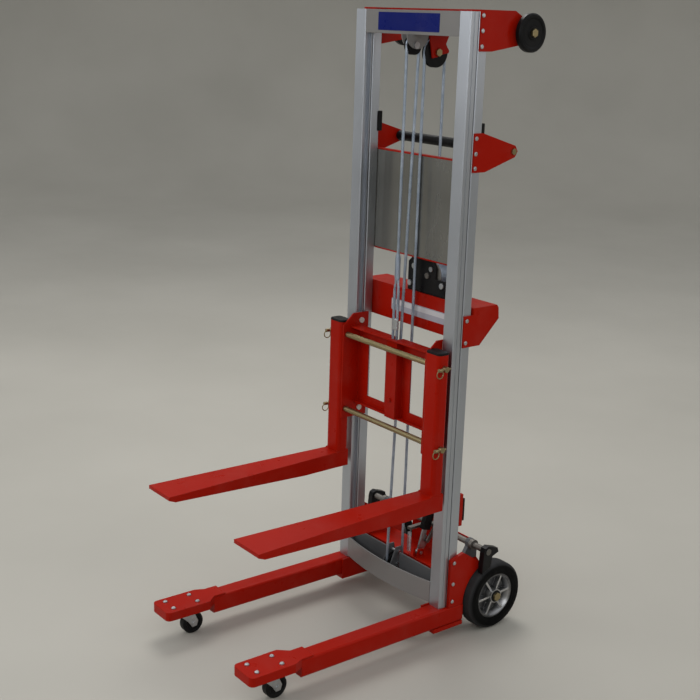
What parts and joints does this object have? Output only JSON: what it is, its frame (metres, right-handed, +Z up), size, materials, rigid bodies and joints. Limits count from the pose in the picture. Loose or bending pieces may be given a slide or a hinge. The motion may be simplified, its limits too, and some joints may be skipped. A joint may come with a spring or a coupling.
{
  "type": "hand winch lifter",
  "caption": "Hand winch lifter: two-stage aluminium mast on a red straddle base with casters, brake wheels, cable winch, push bar and a sliding fork carriage.",
  "frame": {"origin": "on the floor, under the middle of the bounding box", "axes": "+Z up along the mast, +X to the right of someone facing the mast from the fork side, -Y the way the tines point"},
  "size_m": [0.5436, 0.929, 1.72],
  "materials": {
    "red_paint": "gloss powder coat",
    "anodised": "satin anodised extrusion",
    "grey_paint": "satin grey paint",
    "dark_grey": "satin dark grey paint",
    "panel_grey": "satin grey sheet",
    "black_paint": "satin black paint",
    "black_plastic": "moulded black plastic",
    "nylon": "natural nylon",
    "tyre_rubber": "solid rubber",
    "wheel_rubber": "hard black rubber",
    "rim_metal": "die cast, satin",
    "zinc": "bright zinc plate",
    "yellow_zinc": "yellow zinc plate",
    "wire_rope": "galvanised wire rope"
  },
  "bodies": {
    "frame": {"base_weldment": "red_paint", "brake_bearings": "dark_grey", "leg_left": "red_paint", "leg_right": "red_paint", "caster_seats": "zinc", "outer_column_left": "anodised", "outer_column_right": "anodised", "load_bracket_left": "red_paint", "load_bracket_right": "red_paint", "top_tie_plate": "red_paint", "handle_bracket_left": "red_paint", "handle_bracket_right": "red_paint", "push_bar": "black_paint", "guard_panel": "panel_grey", "winch_housing": "red_paint", "winch_frame": "black_paint", "frame_bolts": "zinc", "axle_bolts": "yellow_zinc", "hoist_cable": "wire_rope", "outer_slide_blocks": "nylon"},
    "rear_wheel_left": {"rear_tyre_left": "tyre_rubber", "rear_rim_left": "rim_metal"},
    "rear_wheel_right": {"rear_tyre_right": "tyre_rubber", "rear_rim_right": "rim_metal"},
    "load_roller_left": {"load_wheel_left": "wheel_rubber"},
    "load_roller_right": {"load_wheel_right": "wheel_rubber"},
    "caster_left": {"caster_fork_left": "zinc"},
    "caster_right": {"caster_fork_right": "zinc"},
    "caster_roller_left": {"caster_wheel_left": "wheel_rubber"},
    "caster_roller_right": {"caster_wheel_right": "wheel_rubber"},
    "brake": {"brake_shaft": "zinc", "brake_shoes": "black_paint", "brake_spring": "zinc"},
    "brake_pedal": {"brake_lever": "zinc", "brake_lever_pad": "black_plastic"},
    "drum": {"winch_drum": "zinc"},
    "crank": {"crank_shaft": "zinc", "crank_arm": "zinc"},
    "grip": {"crank_grip": "black_plastic"},
    "upper_sheave": {"top_sheave": "black_plastic"},
    "inner_mast": {"inner_column_left": "anodised", "inner_column_right": "anodised", "inner_top_beam": "grey_paint", "inner_foot_bow": "grey_paint", "inner_foot_channel": "dark_grey", "inner_sheave_pins": "zinc", "inner_slide_blocks": "nylon", "cable_loop": "wire_rope", "cable_drop": "wire_rope"},
    "head_sheave": {"inner_sheave": "black_plastic"},
    "lower_sheave": {"foot_sheave": "black_plastic"},
    "carriage": {"carriage_frame": "red_paint", "carriage_slides": "nylon", "fork_left": "red_paint", "fork_right": "red_paint", "fork_rods": "yellow_zinc", "hitch_pins": "yellow_zinc", "fork_caps": "black_plastic", "cable_tail": "wire_rope", "cable_end": "wire_rope"}
  },
  "joints": [
    {"name": "inner_mast_lift", "type": "slide", "parent": "frame", "child": "inner_mast", "axis": [0, 0, 1], "range_m": [0, 1.1], "deforming": ["cable_drop"]},
    {"name": "carriage_lift", "type": "slide", "parent": "inner_mast", "child": "carriage", "axis": [0, 0, 1], "range_m": [-0.29, 0.48], "deforming": ["cable_tail"]},
    {"name": "drum_spin", "type": "hinge", "parent": "frame", "child": "drum", "pos_m": [0.038, 0.2845, 1.01], "axis": [0, 1, 0], "continuous": true},
    {"name": "crank_spin", "type": "hinge", "parent": "frame", "child": "crank", "pos_m": [-0.01924, 0.2845, 1.028], "axis": [0, 1, 0], "continuous": true},
    {"name": "grip_spin", "type": "hinge", "parent": "crank", "child": "grip", "pos_m": [-0.12017, 0.4075, 1.21783], "axis": [0, 1, 0], "continuous": true},
    {"name": "top_sheave_spin", "type": "hinge", "parent": "frame", "child": "upper_sheave", "pos_m": [0, 0.266, 1.608], "axis": [1, 0, 0], "continuous": true},
    {"name": "inner_sheave_spin", "type": "hinge", "parent": "inner_mast", "child": "head_sheave", "pos_m": [0, 0.1885, 1.626], "axis": [1, 0, 0], "continuous": true},
    {"name": "foot_sheave_spin", "type": "hinge", "parent": "inner_mast", "child": "lower_sheave", "pos_m": [0, 0.2015, 0.147], "axis": [1, 0, 0], "continuous": true},
    {"name": "rear_wheel_left_spin", "type": "hinge", "parent": "frame", "child": "rear_wheel_left", "pos_m": [-0.236, 0.3645, 0.1], "axis": [1, 0, 0], "continuous": true},
    {"name": "load_wheel_left_spin", "type": "hinge", "parent": "frame", "child": "load_roller_left", "pos_m": [-0.249, 0.3685, 1.667], "axis": [1, 0, 0], "continuous": true},
    {"name": "caster_left_swivel", "type": "hinge", "parent": "frame", "child": "caster_left", "pos_m": [-0.208, -0.3965, 0.0857], "axis": [0, 0, 1], "continuous": true},
    {"name": "caster_wheel_left_spin", "type": "hinge", "parent": "caster_left", "child": "caster_roller_left", "pos_m": [-0.208, -0.3645, 0.032], "axis": [1, 0, 0], "continuous": true},
    {"name": "rear_wheel_right_spin", "type": "hinge", "parent": "frame", "child": "rear_wheel_right", "pos_m": [0.236, 0.3645, 0.1], "axis": [1, 0, 0], "continuous": true},
    {"name": "load_wheel_right_spin", "type": "hinge", "parent": "frame", "child": "load_roller_right", "pos_m": [0.249, 0.3685, 1.667], "axis": [1, 0, 0], "continuous": true},
    {"name": "caster_right_swivel", "type": "hinge", "parent": "frame", "child": "caster_right", "pos_m": [0.208, -0.3965, 0.0857], "axis": [0, 0, 1], "continuous": true},
    {"name": "caster_wheel_right_spin", "type": "hinge", "parent": "caster_right", "child": "caster_roller_right", "pos_m": [0.208, -0.3645, 0.032], "axis": [1, 0, 0], "continuous": true},
    {"name": "brake_shaft_turn", "type": "hinge", "parent": "frame", "child": "brake", "pos_m": [0, 0.3255, 0.246], "axis": [1, 0, 0], "range_deg": [-12.5, 0], "stiffness_Nm_per_rad": 2, "springref_deg": 5.73, "deforming": ["brake_spring"]},
    {"name": "brake_pedal_tip", "type": "hinge", "parent": "frame", "child": "brake_pedal", "pos_m": [0.03, 0.2695, 0.174], "axis": [1, 0, 0], "range_deg": [0, 16.5]}
  ],
  "couplings": [
    {"joint": "crank_spin", "follows": "drum_spin", "ratio": -4},
    {"joint": "brake_pedal_tip", "follows": "brake_shaft_turn", "ratio": -1.2804},
    {"joint": "top_sheave_spin", "follows": "carriage_lift", "rad_per_m": -28.169},
    {"joint": "inner_sheave_spin", "follows": "carriage_lift", "rad_per_m": -47.619},
    {"joint": "foot_sheave_spin", "follows": "carriage_lift", "rad_per_m": 34.483}
  ]
}
